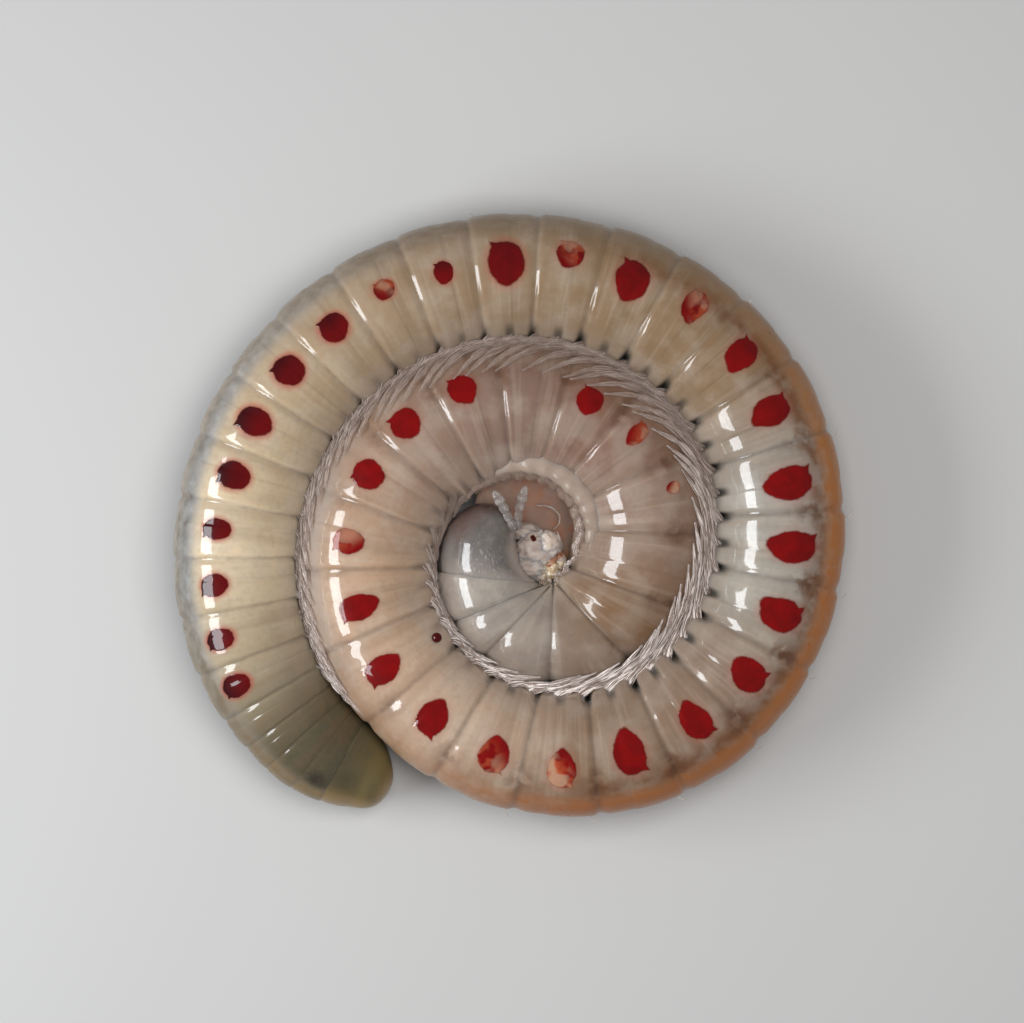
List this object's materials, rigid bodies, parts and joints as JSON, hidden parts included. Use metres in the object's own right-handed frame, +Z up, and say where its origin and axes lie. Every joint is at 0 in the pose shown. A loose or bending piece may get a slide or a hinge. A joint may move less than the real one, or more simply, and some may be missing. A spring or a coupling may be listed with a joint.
{
  "type": "blaniulid millipede",
  "caption": "Snake millipede coiled flat on its side, pale see-through rings with red gland spots, silvery legs folded inwards.",
  "frame": {"origin": "on the floor under the middle of the animal's outer box", "axes": "+Z up out of the coil, +X to the right and +Y away as the coil is seen from above with the tail at the lower left"},
  "size_m": [0.0034, 0.003, 0.0006],
  "materials": {
    "ring_wall": "glossy, pale and slightly see-through horn",
    "tail_horn": "glossy, olive-grey and see-through horn",
    "pearl_horn": "glossy pearl-grey horn",
    "mouth": "cream white, stained orange at the edges",
    "feeler": "silvery and see-through"
  },
  "bodies": {
    "root": {"antenna_left": "feeler", "antenna_right": "feeler", "collum": "pearl_horn", "head": "pearl_horn", "mouthparts": "mouth", "tail_rings": "tail_horn", "telson": "tail_horn", "trunk_01": "pearl_horn", "trunk_02": "pearl_horn", "trunk_03": "ring_wall", "trunk_04": "ring_wall", "trunk_05": "ring_wall", "trunk_06": "ring_wall", "trunk_07": "ring_wall", "trunk_08": "ring_wall", "trunk_09": "ring_wall", "trunk_10": "ring_wall", "trunk_11": "ring_wall", "trunk_12": "ring_wall", "trunk_13": "ring_wall", "trunk_14": "ring_wall"}
  },
  "joints": []
}
